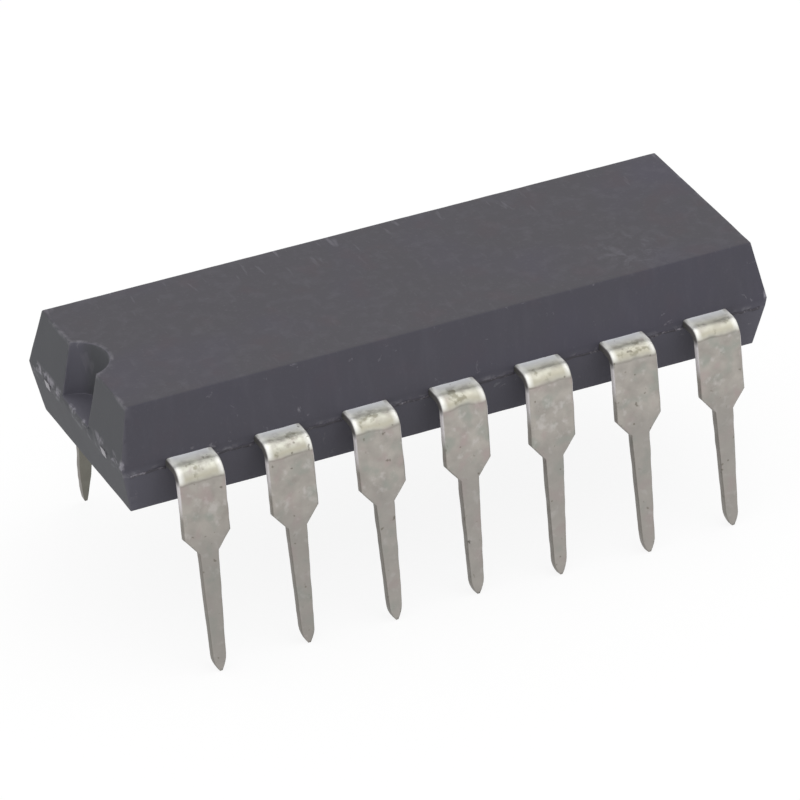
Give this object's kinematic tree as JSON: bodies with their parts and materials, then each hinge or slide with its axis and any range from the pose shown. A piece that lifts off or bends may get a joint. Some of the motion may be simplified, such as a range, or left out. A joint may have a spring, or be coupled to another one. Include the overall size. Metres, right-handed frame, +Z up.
{
  "type": "dual-in-line integrated circuit",
  "caption": "Through-hole plastic dual-in-line chip: a drafted black resin block with a half-round end notch and two rows of bent, tapered tinned leads.",
  "frame": {"origin": "centre of the field of leads, on the seating plane: the board face that the leads' shoulders stop on", "axes": "+X along the package away from the notch, +Y across it away from the row that holds lead 1, +Z up through the marking face"},
  "size_m": [0.019, 0.0096, 0.0075],
  "materials": {
    "resin": "black filled epoxy, fine matte moulded skin",
    "tinned_leads": "copper alloy with a satin, slightly mottled tin coat",
    "frame_alloy": "rolled lead-frame alloy, silver-grey where it is sheared",
    "silver_glue": "silver-filled epoxy",
    "silicon": "polished silicon",
    "gold_wire": "drawn gold"
  },
  "bodies": {
    "root": {"moulded_body": "resin", "lead_1": "tinned_leads", "lead_2": "tinned_leads", "lead_3": "tinned_leads", "lead_4": "tinned_leads", "lead_5": "tinned_leads", "lead_6": "tinned_leads", "lead_7": "tinned_leads", "lead_8": "tinned_leads", "lead_9": "tinned_leads", "lead_10": "tinned_leads", "lead_11": "tinned_leads", "lead_12": "tinned_leads", "lead_13": "tinned_leads", "lead_14": "tinned_leads", "die_pad": "frame_alloy", "die_attach": "silver_glue", "silicon_die": "silicon", "bond_wire_1": "gold_wire", "bond_wire_2": "gold_wire", "bond_wire_3": "gold_wire", "bond_wire_4": "gold_wire", "bond_wire_5": "gold_wire", "bond_wire_6": "gold_wire", "bond_wire_7": "gold_wire", "bond_wire_8": "gold_wire", "bond_wire_9": "gold_wire", "bond_wire_10": "gold_wire", "bond_wire_11": "gold_wire", "bond_wire_12": "gold_wire", "bond_wire_13": "gold_wire", "bond_wire_14": "gold_wire"}
  },
  "joints": []
}
